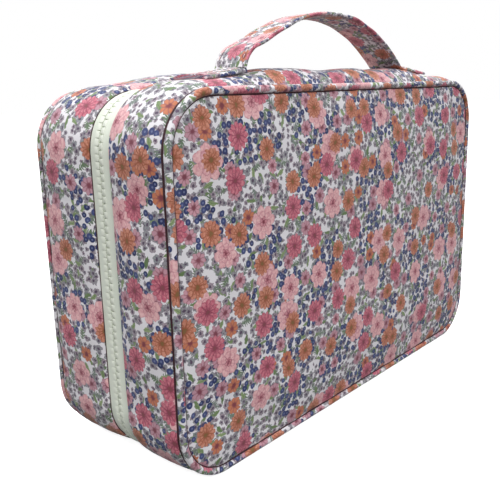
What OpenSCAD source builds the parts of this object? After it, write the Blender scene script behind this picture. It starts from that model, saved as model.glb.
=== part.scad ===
// Zip-round makeup bag: two padded fabric halves joined by a fabric hinge down the right side,
// a zipper with two sliders round the other three sides, and a grab handle on the front half.
// X is the width, the front panel faces -Y, and the bag stands on Z = 0.

/* [Body] */
// Width across the side walls
bag_w = 283; // [240:1:320]
// Depth over both panels and their piping
bag_d = 97; // [84:1:120]
// Height to the top wall
bag_h = 180; // [150:1:220]
// Radius of the four corners, seen from the front
corner_r = 28; // [20:1:36]
// Radius of the piping round each panel
pipe_r = 2.2; // [1.8:0.1:2.4]

/* [Cloth] */
// Thickness of the printed outer cloth
cloth_t = 1; // [0.8:0.1:1.2]
// Thickness of the foam behind the outer cloth
foam_t = 2.6; // [2:0.1:4]
// Thickness of the lining
lining_t = 0.6; // [0.4:0.1:0.8]

/* [Zipper] */
// Place of the zipper's middle line across the depth
zip_y = -2.4; // [-8:0.1:8]
// Width of the band that shows between the two walls
zip_band = 14.4; // [13:0.1:18]
// Thickness of the zipper tape
tape_t = 0.8; // [0.6:0.1:1]
// Distance from one tooth to the next in a row
tooth_pitch = 3.4; // [3:0.1:5]
// Length of a pull
pull_l = 20; // [14:1:24]
// Distance between the two closed sliders
slider_gap = 18; // [16:1:40]

/* [Handle] */
// Width of the strap
strap_w = 24.8; // [20:0.2:26]
// Thickness of the strap
strap_t = 3; // [2:0.2:4]
// Place of the strap's middle line across the depth
handle_y = -24.7; // [-27:0.1:-23]
// Place of the left foot along the width
foot_left = -78; // [-90:1:-60]
// Place of the right foot along the width
foot_right = 67; // [55:1:90]
// Rise of the strap's middle line above the top wall
handle_rise = 36; // [30:1:50]
// Length of each sewn end tab
tab_l = 28; // [20:1:30]

/* [Hidden] */
$fn = 96;
clearance = 0.3;
half_w = bag_w / 2;
half_d = bag_d / 2;
pipe_y = half_d - pipe_r;

// Distances from the middle plane, the same for the front and the back
wall_edge = pipe_y - 1.9;
panel_out = half_d - 1;
panel_inset = 2 * pipe_r + 0.05;
panel_in = panel_out - cloth_t;
foam_in = panel_in - foam_t;
lining_in = foam_in - lining_t;

// Insets from the outer face of the walls
under_cloth = cloth_t;
under_tape = under_cloth + tape_t;
under_foam = under_cloth + foam_t;
under_lining = under_foam + lining_t;
binding_t = 0.8;
binding_w = 6;

// Distances from the zipper's middle line
channel = 0.5;
row_out = 2.8;
band_half = zip_band / 2;
tape_lap = 4.5;
wall_gap = band_half + tape_lap;
fold_gap = 0.15;

// Teeth, centred on the tape
tooth_l = 2.2;
tooth_t = 2.4;
tooth_mid = under_cloth + tape_t / 2;
stop_l = 2.6;
// Length kept free of teeth at each end, and the place of the stop in it
line_end = 4.5;
stop_s = 1.5;

// The teeth's line: top right corner, top, top left, left side, bottom left, bottom, bottom right
run_x = bag_w - 2 * corner_r;
run_z = bag_h - 2 * corner_r;
tooth_r = corner_r - tooth_mid;
arc_l = tooth_r * PI / 2;
line_l = 4 * arc_l + 2 * run_x + run_z;
teeth = floor((line_l - 2 * line_end) / tooth_pitch);

// Sliders
plate_t = 1.2;
plate_l = 11;
plate_w = 9.6;
teeth_top = bag_h - tooth_mid + tooth_t / 2;
teeth_under = bag_h - tooth_mid - tooth_t / 2;
plate_z = teeth_top + clearance;
under_z = teeth_under - clearance;
pin_r = 0.7;
eye_r = 1.7;
eye_w = 3.4;
cheek_t = 0.8;
post_l = 3;
post_w = 0.4;
neck_l = 5;
pin_z = plate_z + plate_t + clearance + eye_r;
cheek_h = pin_z + pin_r + 0.3 - plate_z - plate_t;
pull_w = 7;
tip_hole_r = 1.5;
pull_t = 1.2;

// Handle
pivot_z = bag_h + 1.5;
root_r = strap_w / 2;
tab_t = 2.4;
core_t = 1.2;
core_w = 20;
stitch_inset = 3;
stitch_w = 0.5;
apex_x = -3;
left_foot = [foot_left, pivot_z];
right_foot = [foot_right, pivot_z];
apex = [apex_x, bag_h + handle_rise];

// Slip pocket on the back lining
pocket_w = 220;
pocket_h = 92;
pocket_z = 16;
pocket_y = lining_in - 1.4;

print_colour = "#c9a29d";
zip_colour = "#cfd6c6";
lining_colour = "#e8e2d6";
foam_colour = "#f2efe6";
thread_colour = "#d8b7b2";

// ---- Shapes the halves share; side is -1 for the front half and 1 for the back half ----

// Outline seen from the front, moved inwards by inset
module outline(inset) {
    translate([-half_w + corner_r, inset]) square([run_x, bag_h - 2 * inset]);
    translate([-half_w + inset, corner_r]) square([bag_w - 2 * inset, run_z]);
    for (x = [-run_x / 2, run_x / 2], z = [corner_r, bag_h - corner_r])
        translate([x, z]) circle(r = corner_r - inset);
}

// What its children draw in X and Z, made solid from y_a to y_b
module across(y_a, y_b) {
    translate([0, max(y_a, y_b), 0]) rotate([90, 0, 0]) linear_extrude(abs(y_a - y_b)) children();
}

// Band that follows the outline, from an edge by the panel to one by the zipper
module band(side, edge, gap, outer, inner) {
    across(side * edge, zip_y + side * gap) difference() {
        outline(outer);
        outline(inner);
    }
}

// Flat sheet with the outline's shape
module sheet(side, far, near, inset) {
    across(side * far, side * near) outline(inset);
}

// The stretch of the right side that has the hinge in place of the zipper
module hinge_side() {
    translate([half_w - corner_r, -half_d, corner_r]) cube([corner_r + 1, bag_d, run_z]);
}

module panel(side) {
    color(print_colour) sheet(side, panel_out, panel_in, panel_inset);
}

module panel_foam(side) {
    color(foam_colour) sheet(side, panel_in, foam_in, panel_inset + 0.35);
}

module panel_lining(side) {
    color(lining_colour) sheet(side, foam_in, lining_in, under_foam);
}

module piping(side) {
    color(print_colour) {
        for (z = [pipe_r, bag_h - pipe_r])
            translate([-run_x / 2, side * pipe_y, z]) rotate([0, 90, 0]) cylinder(r = pipe_r, h = run_x);
        for (x = [pipe_r - half_w, half_w - pipe_r])
            translate([x, side * pipe_y, corner_r]) cylinder(r = pipe_r, h = run_z);
        for (corner = [0 : 3]) {
            x = (corner == 0 || corner == 3 ? 1 : -1) * run_x / 2;
            z = corner < 2 ? bag_h - corner_r : corner_r;
            translate([x, side * pipe_y, z]) rotate([90, 0, 0]) rotate([0, 0, 90 * corner])
                rotate_extrude(angle = 90) translate([corner_r - pipe_r, 0]) circle(r = pipe_r);
        }
    }
}

module wall(side) {
    color(print_colour) band(side, wall_edge, band_half, 0, under_cloth);
}

module wall_foam(side) {
    color(foam_colour) band(side, foam_in, wall_gap, under_cloth, under_foam);
}

module wall_lining(side) {
    color(lining_colour) band(side, lining_in, wall_gap, under_foam, under_lining);
}

// Bias tape over the seam between the wall and the panel, inside
module seam_binding(side) {
    color(lining_colour) across(side * lining_in, side * (lining_in - binding_w)) difference() {
        outline(under_lining);
        outline(under_lining + binding_t);
    }
}

module zip_tape(side) {
    color(zip_colour) difference() {
        band(side, abs(zip_y + side * wall_gap), row_out, under_cloth, under_tape);
        hinge_side();
    }
}

// Bias tape over the tape's sewn edge, inside
module zip_binding(side) {
    color(lining_colour)
        band(side, abs(zip_y + side * wall_gap), band_half, under_tape, under_tape + binding_t);
}

// Place and direction at a distance along the teeth's line: [x, z, degrees]
function on_line(s) =
    s < arc_l ? on_arc(run_x / 2, bag_h - corner_r, 0, s)
    : s < arc_l + run_x ? [run_x / 2 - (s - arc_l), bag_h - tooth_mid, 90]
    : s < 2 * arc_l + run_x ? on_arc(-run_x / 2, bag_h - corner_r, 90, s - arc_l - run_x)
    : s < 2 * arc_l + run_x + run_z
        ? [-half_w + tooth_mid, bag_h - corner_r - (s - 2 * arc_l - run_x), 180]
    : s < 3 * arc_l + run_x + run_z
        ? on_arc(-run_x / 2, corner_r, 180, s - 2 * arc_l - run_x - run_z)
    : s < 3 * arc_l + 2 * run_x + run_z
        ? [-run_x / 2 + (s - 3 * arc_l - run_x - run_z), tooth_mid, 270]
    : on_arc(run_x / 2, corner_r, 270, s - 3 * arc_l - 2 * run_x - run_z);
function on_arc(x, z, start, s) =
    let (a = start + s / tooth_r * 180 / PI) [x + tooth_r * cos(a), z + tooth_r * sin(a), a];

// Block of one tooth row, centred on the line, l long
module tooth(side, s, l) {
    p = on_line(s);
    translate([p[0], zip_y + side * (channel + row_out) / 2, p[1]]) rotate([0, -p[2], 0])
        cube([tooth_t, row_out - channel, l], center = true);
}

module zip_teeth(side) {
    first = (line_l - (teeth - 1) * tooth_pitch) / 2;
    color(zip_colour) for (i = [0 : teeth - 1]) tooth(side, first + i * tooth_pitch, tooth_l);
}

module zip_stops(side) {
    color(zip_colour) for (s = [stop_s, line_l - stop_s]) tooth(side, s, stop_l);
}

module hinge_flap(side) {
    color(print_colour) intersection() {
        band(side, abs(zip_y + side * wall_gap), fold_gap, under_cloth, under_tape);
        hinge_side();
    }
}

// ---- Inside of the back half ----

module pocket_panel() {
    color(lining_colour) {
        translate([-pocket_w / 2, pocket_y, pocket_z]) cube([pocket_w, lining_t, pocket_h]);
        for (x = [-pocket_w / 2, pocket_w / 2 - binding_w])
            translate([x, pocket_y, pocket_z]) cube([binding_w, lining_in - pocket_y, pocket_h]);
        translate([-pocket_w / 2, pocket_y, pocket_z]) cube([pocket_w, lining_in - pocket_y, binding_w]);
    }
}

module pocket_elastic() {
    color(zip_colour) translate([-pocket_w / 2, pocket_y - binding_t / 2, pocket_z + pocket_h])
        cube([pocket_w, binding_t + lining_t, binding_w]);
}

// ---- Handle ----

// Point at t from 0 to 1 on the curve through four guide points
function bezier(a, b, c, d, t) =
    pow(1 - t, 3) * a + 3 * t * pow(1 - t, 2) * b + 3 * t * t * (1 - t) * c + pow(t, 3) * d;

// The strap's middle line in X and Z: a steep left leg, a round top and a leaning right leg
curve_steps = 14;
left_line = [for (i = [0 : curve_steps]) bezier(
    left_foot, left_foot + [4, 0.6 * handle_rise], apex - [35, 0], apex, i / curve_steps)];
right_line = [for (i = [1 : curve_steps]) bezier(
    apex, apex + [25, 0], right_foot + [-15, 0.5 * handle_rise], right_foot, i / curve_steps)];
strap_line = concat(left_line, right_line);

function line_normal(i) =
    let (last = len(strap_line) - 1,
        d = strap_line[min(i + 1, last)] - strap_line[max(i - 1, 0)])
    [-d[1], d[0]] / norm(d);

// Closed outline of the strap seen from the front, t thick
function strap_outline(t) = concat(
    [for (i = [0 : len(strap_line) - 1]) strap_line[i] + t / 2 * line_normal(i)],
    [for (i = [len(strap_line) - 1 : -1 : 0]) strap_line[i] - t / 2 * line_normal(i)]);

module strap_body(w, t) {
    across(handle_y - w / 2, handle_y + w / 2) polygon(strap_outline(t));
}

// Round space about the axis that the strap sways on
module root_round(r) {
    translate([-half_w, handle_y, pivot_z]) rotate([0, 90, 0]) cylinder(r = r, h = bag_w);
}

// Sewn end tab, with the short upright root that the strap bends from; outwards is -1 or 1
module handle_tab(foot, outwards) {
    color(print_colour) {
        x = min(foot, foot + outwards * tab_l);
        translate([x, handle_y - strap_w / 2, bag_h]) cube([tab_l, strap_w, tab_t]);
        intersection() {
            strap_body(strap_w, strap_t);
            root_round(root_r);
            translate([foot - 10, -half_d, bag_h]) cube([20, bag_d, 2 * root_r]);
        }
    }
}

// Square of stitches on each tab; the tab's end by the root stays clear
module handle_stitching() {
    l = tab_l - 2 * stitch_inset - 2;
    w = strap_w - 2 * stitch_inset;
    x_left = foot_left - tab_l + stitch_inset;
    x_right = foot_right + tab_l - stitch_inset - l;
    color(thread_colour) for (x = [x_left, x_right])
        translate([x, handle_y - w / 2, bag_h + tab_t]) difference() {
            cube([l, w, 0.3]);
            translate([stitch_w, stitch_w, -1]) cube([l - 2 * stitch_w, w - 2 * stitch_w, 2]);
        }
}

module handle_strap() {
    color(print_colour) difference() {
        strap_body(strap_w, strap_t);
        strap_body(core_w, core_t);
        root_round(root_r + clearance);
    }
}

module handle_core() {
    color(foam_colour) difference() {
        strap_body(core_w, core_t);
        root_round(root_r + clearance);
    }
}

// ---- Sliders and pulls; way is -1 for the left one and 1 for the right one ----

module slider(way) {
    color(zip_colour) translate([way * slider_gap / 2, zip_y, 0]) {
        translate([-plate_l / 2, -plate_w / 2, plate_z]) cube([plate_l, plate_w, plate_t]);
        translate([-plate_l / 2, -plate_w / 2, under_z - plate_t]) cube([plate_l, plate_w, plate_t]);
        translate([-way * (plate_l - post_l) / 2 - post_l / 2, -post_w / 2, under_z])
            cube([post_l, post_w, plate_z - under_z]);
        for (y = [-eye_w / 2 - clearance - cheek_t, eye_w / 2 + clearance])
            translate([-eye_r, y, plate_z + plate_t]) cube([2 * eye_r, cheek_t, cheek_h]);
        translate([0, eye_w / 2 + clearance, pin_z]) rotate([90, 0, 0])
            cylinder(r = pin_r, h = eye_w + 2 * clearance);
    }
}

module pull(way) {
    tip = pull_l - pull_w / 2;
    color(zip_colour) translate([way * slider_gap / 2, zip_y, pin_z]) mirror([way < 0 ? 1 : 0, 0, 0])
        difference() {
            union() {
                translate([0, eye_w / 2, 0]) rotate([90, 0, 0]) cylinder(r = eye_r, h = eye_w);
                translate([0, -eye_w / 2, -pull_t / 2]) cube([neck_l + 1, eye_w, pull_t]);
                translate([neck_l, -pull_w / 2, -pull_t / 2]) cube([tip - neck_l, pull_w, pull_t]);
                translate([tip, 0, -pull_t / 2]) cylinder(r = pull_w / 2, h = pull_t);
            }
            translate([0, eye_w, 0]) rotate([90, 0, 0]) cylinder(r = pin_r + clearance, h = 2 * eye_w);
            translate([tip, 0, -pull_t]) cylinder(r = tip_hole_r, h = 2 * pull_t);
        }
}

panel(1);  // back_panel
panel_foam(1);  // back_panel_foam
panel_lining(1);  // back_panel_lining
piping(1);  // back_piping
wall(1);  // back_wall
wall_foam(1);  // back_wall_foam
wall_lining(1);  // back_wall_lining
seam_binding(1);  // back_seam_binding
zip_tape(1);  // back_zip_tape
zip_binding(1);  // back_zip_binding
zip_teeth(1);  // back_zip_teeth
zip_stops(1);  // back_zip_stops
hinge_flap(1);  // back_hinge_flap
pocket_panel();
pocket_elastic();
panel(-1);  // front_panel
panel_foam(-1);  // front_panel_foam
panel_lining(-1);  // front_panel_lining
piping(-1);  // front_piping
wall(-1);  // front_wall
wall_foam(-1);  // front_wall_foam
wall_lining(-1);  // front_wall_lining
seam_binding(-1);  // front_seam_binding
zip_tape(-1);  // front_zip_tape
zip_binding(-1);  // front_zip_binding
zip_teeth(-1);  // front_zip_teeth
zip_stops(-1);  // front_zip_stops
hinge_flap(-1);  // front_hinge_flap
handle_tab(foot_left, -1);  // handle_tab_left
handle_tab(foot_right, 1);  // handle_tab_right
handle_stitching();
handle_strap();
handle_core();
slider(-1);  // slider_left
slider(1);  // slider_right
pull(-1);  // pull_left
pull(1);  // pull_right
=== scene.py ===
import math

import bmesh
import bpy
import numpy as np
from mathutils import Matrix, Vector, noise


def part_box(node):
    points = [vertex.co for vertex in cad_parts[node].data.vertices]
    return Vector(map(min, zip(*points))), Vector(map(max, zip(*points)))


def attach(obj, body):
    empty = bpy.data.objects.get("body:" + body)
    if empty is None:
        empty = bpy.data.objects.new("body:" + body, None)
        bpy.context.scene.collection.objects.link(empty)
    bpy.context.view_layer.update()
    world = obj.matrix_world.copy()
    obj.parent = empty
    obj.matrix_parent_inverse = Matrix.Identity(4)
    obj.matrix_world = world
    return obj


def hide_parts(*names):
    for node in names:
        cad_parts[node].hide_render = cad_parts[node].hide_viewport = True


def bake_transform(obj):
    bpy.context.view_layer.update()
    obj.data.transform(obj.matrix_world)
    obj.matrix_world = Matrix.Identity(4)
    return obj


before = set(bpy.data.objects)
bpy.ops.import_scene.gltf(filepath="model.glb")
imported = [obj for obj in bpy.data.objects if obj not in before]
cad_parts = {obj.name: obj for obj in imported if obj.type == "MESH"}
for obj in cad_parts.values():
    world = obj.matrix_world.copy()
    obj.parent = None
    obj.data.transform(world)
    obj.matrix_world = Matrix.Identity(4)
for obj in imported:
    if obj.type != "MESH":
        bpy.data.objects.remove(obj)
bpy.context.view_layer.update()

MM = 0.001

# ---- Sizes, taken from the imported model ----

HALVES = {"front": -1, "back": 1}
wall_low, wall_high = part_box("front_wall")
back_wall_low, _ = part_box("back_wall")
pipe_low, pipe_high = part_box("front_piping")
panel_low, panel_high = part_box("front_panel")
foam_low, foam_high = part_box("front_wall_foam")
flap_low, flap_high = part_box("front_hinge_flap")
tab_low, tab_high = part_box("handle_tab_left")
_, right_tab_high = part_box("handle_tab_right")

HALF_W = wall_high.x
HEIGHT = wall_high.z
# Radius of the outline's corners
CORNER = 28 * MM
WALL_EDGE = -wall_low.y
# The zipper's middle line, half the gap between the walls, and how far from it the tapes are sewn
ZIP_Y = (wall_high.y + back_wall_low.y) / 2
BAND = (back_wall_low.y - wall_high.y) / 2
TAPE_LAP = ZIP_Y - foam_high.y
PIPE_R = (pipe_high.y - pipe_low.y) / 2
PIPE_Y = -(pipe_low.y + pipe_high.y) / 2
# The piping's cord sits at the outer edge of its CAD tube, a little slimmer
CORD_R = 0.8 * PIPE_R
CORD_Y = PIPE_Y + PIPE_R - CORD_R
PANEL_FACE = -panel_low.y
PANEL_INSET = HALF_W - panel_high.x
CLOTH = HALF_W - foam_high.x
# Inset of the walls' inner face, and the lining's thickness
PADDING = 3.6 * MM
LINING = 0.6 * MM
LINING_FACE = -foam_low.y
TOOTH_PITCH = 3.4 * MM
# Inset of the teeth's middle line
TOOTH_MID = 1.4 * MM
HINGE_LOW = flap_low.z
HINGE_HIGH = flap_high.z

# Crown of the padded walls over the seams, by place
CROWN_TOP = 7.6 * MM
CROWN_LEFT = 2.6 * MM
CROWN_RIGHT = 1.2 * MM
CROWN_SLOPE = 60 * MM

# Samples in a loop round the bag
ROUND = 440


# ---- Outline of the bag ----

class Outline:
    """The bag's rounded rectangle at an inset, walked anticlockwise from the middle of the bottom."""

    def __init__(self, inset=0.0):
        self.radius = CORNER - inset
        half = HALF_W - CORNER
        side = HEIGHT - 2 * CORNER
        arc = self.radius * math.pi / 2
        self.stretches = [half, arc, side, arc, 2 * half, arc, side, arc, half]
        self.length = sum(self.stretches)
        top = HEIGHT - CORNER
        self.centres = [(half, CORNER), (half, top), (-half, top), (-half, CORNER)]

    def at(self, distance):
        """Point and outward normal: x, z, nx, nz."""
        left = distance % self.length
        stretch = 0
        while stretch < 8 and left > self.stretches[stretch]:
            left -= self.stretches[stretch]
            stretch += 1
        turn = math.radians(90 * (stretch // 2) - 90)
        if stretch % 2:
            turn += left / self.radius
            cx, cz = self.centres[stretch // 2]
            left = 0.0
        elif stretch == 0:
            cx, cz = 0.0, CORNER
        else:
            cx, cz = self.centres[stretch // 2 - 1]
        nx, nz = math.cos(turn), math.sin(turn)
        x = cx + self.radius * nx - left * nz
        z = cz + self.radius * nz + left * nx
        return x, z, nx, nz

    def hinge_top(self):
        """Distance at which the right side ends and the top right corner starts."""
        return sum(self.stretches[:3])

    def samples(self, distances):
        return np.array([self.at(d) for d in distances])


EDGE_LINE = Outline()
LOOP = np.arange(ROUND) / ROUND * EDGE_LINE.length
AROUND = EDGE_LINE.samples(LOOP)


def smooth(t):
    t = np.clip(t, 0.0, 1.0)
    return t * t * (3 - 2 * t)


def crown_height(around):
    """How far the padded wall rises over its seams at each sample of the outline."""
    x, z, nx, nz = around.T
    up = np.clip(nz, 0, 1) ** 2 * CROWN_TOP
    up *= 1 - 0.66 * smooth((np.abs(x) - CROWN_SLOPE) / (0.9 * CROWN_SLOPE))
    tall = 1 - 0.35 * smooth(np.abs(z - HEIGHT / 2) / (HEIGHT / 2))
    left = np.clip(-nx, 0, 1) ** 2 * CROWN_LEFT * tall
    right = np.clip(nx, 0, 1) ** 2 * CROWN_RIGHT * tall
    return up + left + right


CROWN = crown_height(AROUND)[:, None]


def ripple(points, size, seed):
    """Smooth noise from -1 to 1 at each point, in bumps of about that size."""
    shift = Vector((7.3 * seed, 3.1 * seed, 5.7 * seed))
    flat = np.asarray(points, float).reshape(-1, 3)
    values = [noise.noise(Vector(p) / size + shift) for p in flat]
    return np.array(values).reshape(np.shape(points)[:-1])


# ---- Node formulas ----

def math_method(operation, swapped=False):
    """A method that works on a Num through a maths node."""
    def method(self, *others):
        values = (*others, self) if swapped else (self, *others)
        return self.graph.math(operation, *values)
    return method


class Num:
    """A number that material nodes work out, so that a formula reads as one."""

    def __init__(self, graph, socket):
        self.graph = graph
        self.socket = socket

    __abs__ = math_method("ABSOLUTE")
    __add__ = __radd__ = math_method("ADD")
    __sub__ = math_method("SUBTRACT")
    __rsub__ = math_method("SUBTRACT", swapped=True)
    __mul__ = __rmul__ = math_method("MULTIPLY")
    __truediv__ = math_method("DIVIDE")
    __pow__ = math_method("POWER")


class Graph:
    """Adds nodes to a material and returns their results."""

    def __init__(self, tree):
        self.nodes = tree.nodes
        self.links = tree.links

    def set(self, socket, value):
        """Links a Num to the socket, or puts a number, a vector or the colour of a hex code on it."""
        if isinstance(value, Num):
            self.links.new(value.socket, socket)
        else:
            socket.default_value = shade(value) if isinstance(value, str) else value

    def fill(self, node, values):
        for name, value in values.items():
            self.set(node.inputs[name], value)

    def node(self, kind, inputs=(), **settings):
        made = self.nodes.new(kind)
        for key, value in settings.items():
            setattr(made, key, value)
        self.fill(made, dict(inputs))
        return made

    def out(self, node, name):
        return Num(self, node.outputs[name])

    def math(self, operation, *values):
        node = self.node("ShaderNodeMath", enumerate(values), operation=operation)
        return self.out(node, "Value")

    def vector(self, operation, a, b):
        node = self.node("ShaderNodeVectorMath", {0: a, 1: b}, operation=operation)
        return self.out(node, "Vector")

    def split(self, vector):
        node = self.node("ShaderNodeSeparateXYZ", {"Vector": vector})
        return [self.out(node, axis) for axis in "XYZ"]

    def ramp(self, value, low, high):
        """0 below low, 1 above high and smooth between."""
        inputs = {"Value": value, "From Min": low, "From Max": high}
        node = self.node("ShaderNodeMapRange", inputs, interpolation_type="SMOOTHSTEP")
        return self.out(node, "Result")

    def paint(self, under, over, share):
        node = self.nodes.new("ShaderNodeMix")
        node.data_type = "RGBA"
        inputs = {socket.identifier: socket for socket in node.inputs}
        self.set(inputs["Factor_Float"], share)
        self.set(inputs["A_Color"], under)
        self.set(inputs["B_Color"], over)
        return Num(self, next(s for s in node.outputs if s.identifier == "Result_Color"))

    def noise(self, where, size, detail=2.0, out="Fac"):
        """Smooth noise from 0 to 1 in bumps of that size, or a random vector where out is Color."""
        inputs = {"Vector": where, "Scale": 1.0 / size, "Detail": detail}
        return self.out(self.node("ShaderNodeTexNoise", inputs), out)

    def cell(self, where, size, jitter, seed):
        """Nearest cell of a jittered grid: the place seen from its centre, its random numbers, its centre."""
        scaled = self.vector("MULTIPLY", where, (1 / size, 1 / size, 0))
        scaled = self.vector("ADD", scaled, (17.3 * seed + 40, 9.7 * seed + 40, 0))
        inputs = {"Vector": scaled, "Scale": 1.0, "Randomness": jitter}
        made = self.node("ShaderNodeTexVoronoi", inputs, voronoi_dimensions="2D")
        centre = self.out(made, "Position")
        away = self.vector("MULTIPLY", self.vector("SUBTRACT", scaled, centre), (size, size, 0))
        x, y, _ = self.split(away)
        return x, y, self.split(self.out(made, "Color")), centre


def shade(code):
    """Linear colour of an sRGB hex code."""
    parts = [int(code[i:i + 2], 16) / 255 for i in (1, 3, 5)]
    linear = [c / 12.92 if c <= 0.04045 else ((c + 0.055) / 1.055) ** 2.4 for c in parts]
    return (*linear, 1.0)


def new_material(name):
    """Material, its graph and its shader."""
    material = bpy.data.materials.new(name)
    material.use_nodes = True
    graph = Graph(material.node_tree)
    return material, graph, material.node_tree.nodes["Principled BSDF"]


def cloth_place(graph):
    """Place on the cloth in millimetres, from the piece's own map."""
    return graph.out(graph.node("ShaderNodeUVMap", uv_map="cloth"), "UV")


def bump(graph, shader, height, distance, strength):
    node = graph.node("ShaderNodeBump", {"Height": height, "Distance": distance, "Strength": strength})
    graph.links.new(node.outputs["Normal"], shader.inputs["Normal"])


# ---- The flower print ----
# Sizes are in millimetres on the cloth. Each motif has its own jittered grid, and fills a share of the cells.

def length(g, x, y):
    return g.math("SQRT", x * x + y * y)


def turned(g, x, y, share):
    """The place in axes turned by a share of a full turn."""
    angle = share * (2 * math.pi)
    c, s = g.math("COSINE", angle), g.math("SINE", angle)
    return x * c + y * s, y * c - x * s


def bloom(g, spot, radius, petals, depth, heart, turn=0.0):
    """Masks of a ring of petals: whole, its rim, the lines between them, its heart; and the radius there."""
    x, y, chance, _ = spot
    r = length(g, x, y)
    angle = g.math("ARCTAN2", y, x) + (chance[0] + turn) * (2 * math.pi)
    lobe = abs(g.math("COSINE", angle * (petals / 2)))
    reach = (lobe ** 0.6 * (1 - depth) + depth) * (chance[1] * 0.22 + 0.89) * radius
    room = reach - r
    whole = g.ramp(room, 0.0, 0.25)
    rim = 1 - g.ramp(room, 0.15, 0.7)
    between = 1 - g.ramp(r * lobe * (2 / petals), 0.08, 0.42)
    core = 1 - g.ramp(r, heart * 0.75, heart)
    return whole, rim, between, core, r


def present(g, chance, share):
    """1 in that share of the cells."""
    return g.math("LESS_THAN", chance, share)


def draw_ferns(g, colour, where, seed):
    """Each draw function returns the colour with its motif painted over it."""
    x, y, chance, _ = g.cell(where, 10.4, 0.75, seed)
    x, y = turned(g, x, y, chance[0])
    along = 1 - abs(x / 5.4) ** 1.6
    leaflets = abs(g.math("SINE", x * 2.3 + abs(y) * 1.4))
    width = along * (leaflets ** 1.4 * 2.2 + 0.35)
    mask = g.ramp(width - abs(y), 0.0, 0.3) * present(g, chance[2], 0.92)
    tint = g.paint("#75807c", "#64795b", chance[1])
    return g.paint(colour, tint, mask)


def draw_leaves(g, colour, where, size, seed, share):
    x, y, chance, _ = g.cell(where, size, 0.8, seed)
    x, y = turned(g, x, y, chance[0])
    half = 0.42 * size
    across = abs(y)
    room = (1 - abs(x / half) ** 2) * (0.34 * half) - across
    mask = g.ramp(room, 0.0, 0.22) * present(g, chance[2], share)
    tint = g.paint("#63794f", "#92a276", chance[1])
    rib = 1 - g.ramp(across, 0.05, 0.3)
    tint = g.paint(tint, "#4c6b45", rib * 0.6)
    return g.paint(colour, tint, mask)


def draw_florets(g, colour, where, size, seed):
    spot = g.cell(where, size, 0.72, seed)
    chance = spot[2]
    whole, rim, between, core, _ = bloom(g, spot, 0.42 * size, 5, 0.66, 0.16 * size)
    tint = g.paint("#a2939b", "#8c9194", chance[1])
    tint = g.paint(tint, "#6f6072", g.math("MAXIMUM", rim * 0.5, between * 0.45))
    tint = g.paint(tint, "#55465a", core)
    return g.paint(colour, tint, whole * present(g, chance[2], 0.78))


def draw_berries(g, colour, where, seed, share):
    """Strings and clusters of berries: a fine grid of them, kept where a coarse grid has a cluster."""
    x, y, chance, centre = g.cell(where, 3.8, 0.7, seed)
    cluster_x, cluster_y, cluster, _ = g.cell(centre, 11.5, 0.95, seed + 1)
    cluster_x, cluster_y = turned(g, cluster_x, cluster_y, cluster[0])
    near = g.ramp(5.2 - length(g, cluster_x * 0.6, cluster_y * 1.7), 0.0, 0.02)
    near = near * present(g, cluster[2], share) * present(g, chance[2], 0.84)
    r = length(g, x, y)
    size = chance[1] * 0.45 + 1.35
    mask = g.ramp(size - r, 0.0, 0.22) * near
    heart = 1 - g.ramp(r, 0.3, 0.65)
    tint = g.paint("#29305a", "#414b79", chance[0])
    tint = g.paint(tint, "#7f88ab", heart * 0.6)
    return g.paint(colour, tint, mask)


def draw_roses(g, colour, where, rough):
    spot = g.cell(where, 27.0, 0.6, 7)
    chance = spot[2]
    whole, rim, between, _, _ = bloom(g, spot, 8.1, 7, 0.72, 1.6)
    petals, petal_rim, petal_between, _, _ = bloom(g, spot, 5.4, 6, 0.7, 0.9, turn=0.21)
    bud, bud_rim, bud_between, core, _ = bloom(g, spot, 2.8, 5, 0.6, 1.2, turn=0.55)
    tint = g.paint("#d69ca2", "#e6bcbc", rough)
    tint = g.paint(tint, "#b3717f", g.math("MAXIMUM", rim * 0.6, between * 0.5))
    tint = g.paint(tint, "#d39aa0", petals * (1 - rough) * 0.7)
    tint = g.paint(tint, "#a86375", petals * g.math("MAXIMUM", petal_rim, petal_between) * 0.6)
    tint = g.paint(tint, "#c07a86", bud * 0.6)
    tint = g.paint(tint, "#84404f", bud * g.math("MAXIMUM", bud_rim, bud_between) * 0.75)
    tint = g.paint(tint, "#7a3040", core * rough)
    return g.paint(colour, tint, whole * present(g, chance[2], 0.66))


def draw_daisies(g, colour, where, rough):
    spot = g.cell(where, 18.5, 0.66, 12)
    chance = spot[2]
    whole, rim, between, core, r = bloom(g, spot, 6.0, 12, 0.78, 1.2)
    petals, petal_rim, petal_between, _, _ = bloom(g, spot, 3.8, 9, 0.68, 0.9, turn=0.13)
    is_pink = g.math("GREATER_THAN", chance[1], 0.62)
    orange = g.paint("#b6705a", "#cd8f79", rough)
    pink = g.paint("#ba5b70", "#ce828e", rough)
    dark = g.paint("#8a4a2e", "#86364d", is_pink)
    tint = g.paint(g.paint(orange, pink, is_pink), dark, g.math("MAXIMUM", rim * 0.45, between * 0.75))
    tint = g.paint(tint, g.paint("#c58069", "#c67484", is_pink), petals * (1 - rough) * 0.6)
    tint = g.paint(tint, dark, petals * g.math("MAXIMUM", petal_rim, petal_between) * 0.7)
    tint = g.paint(tint, dark, (1 - g.ramp(r, 0.8, 2.6)) * 0.5)
    tint = g.paint(tint, g.paint("#77623a", "#7d4a4c", is_pink), core * 0.7)
    return g.paint(colour, tint, whole * present(g, chance[2], 0.64))


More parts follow.
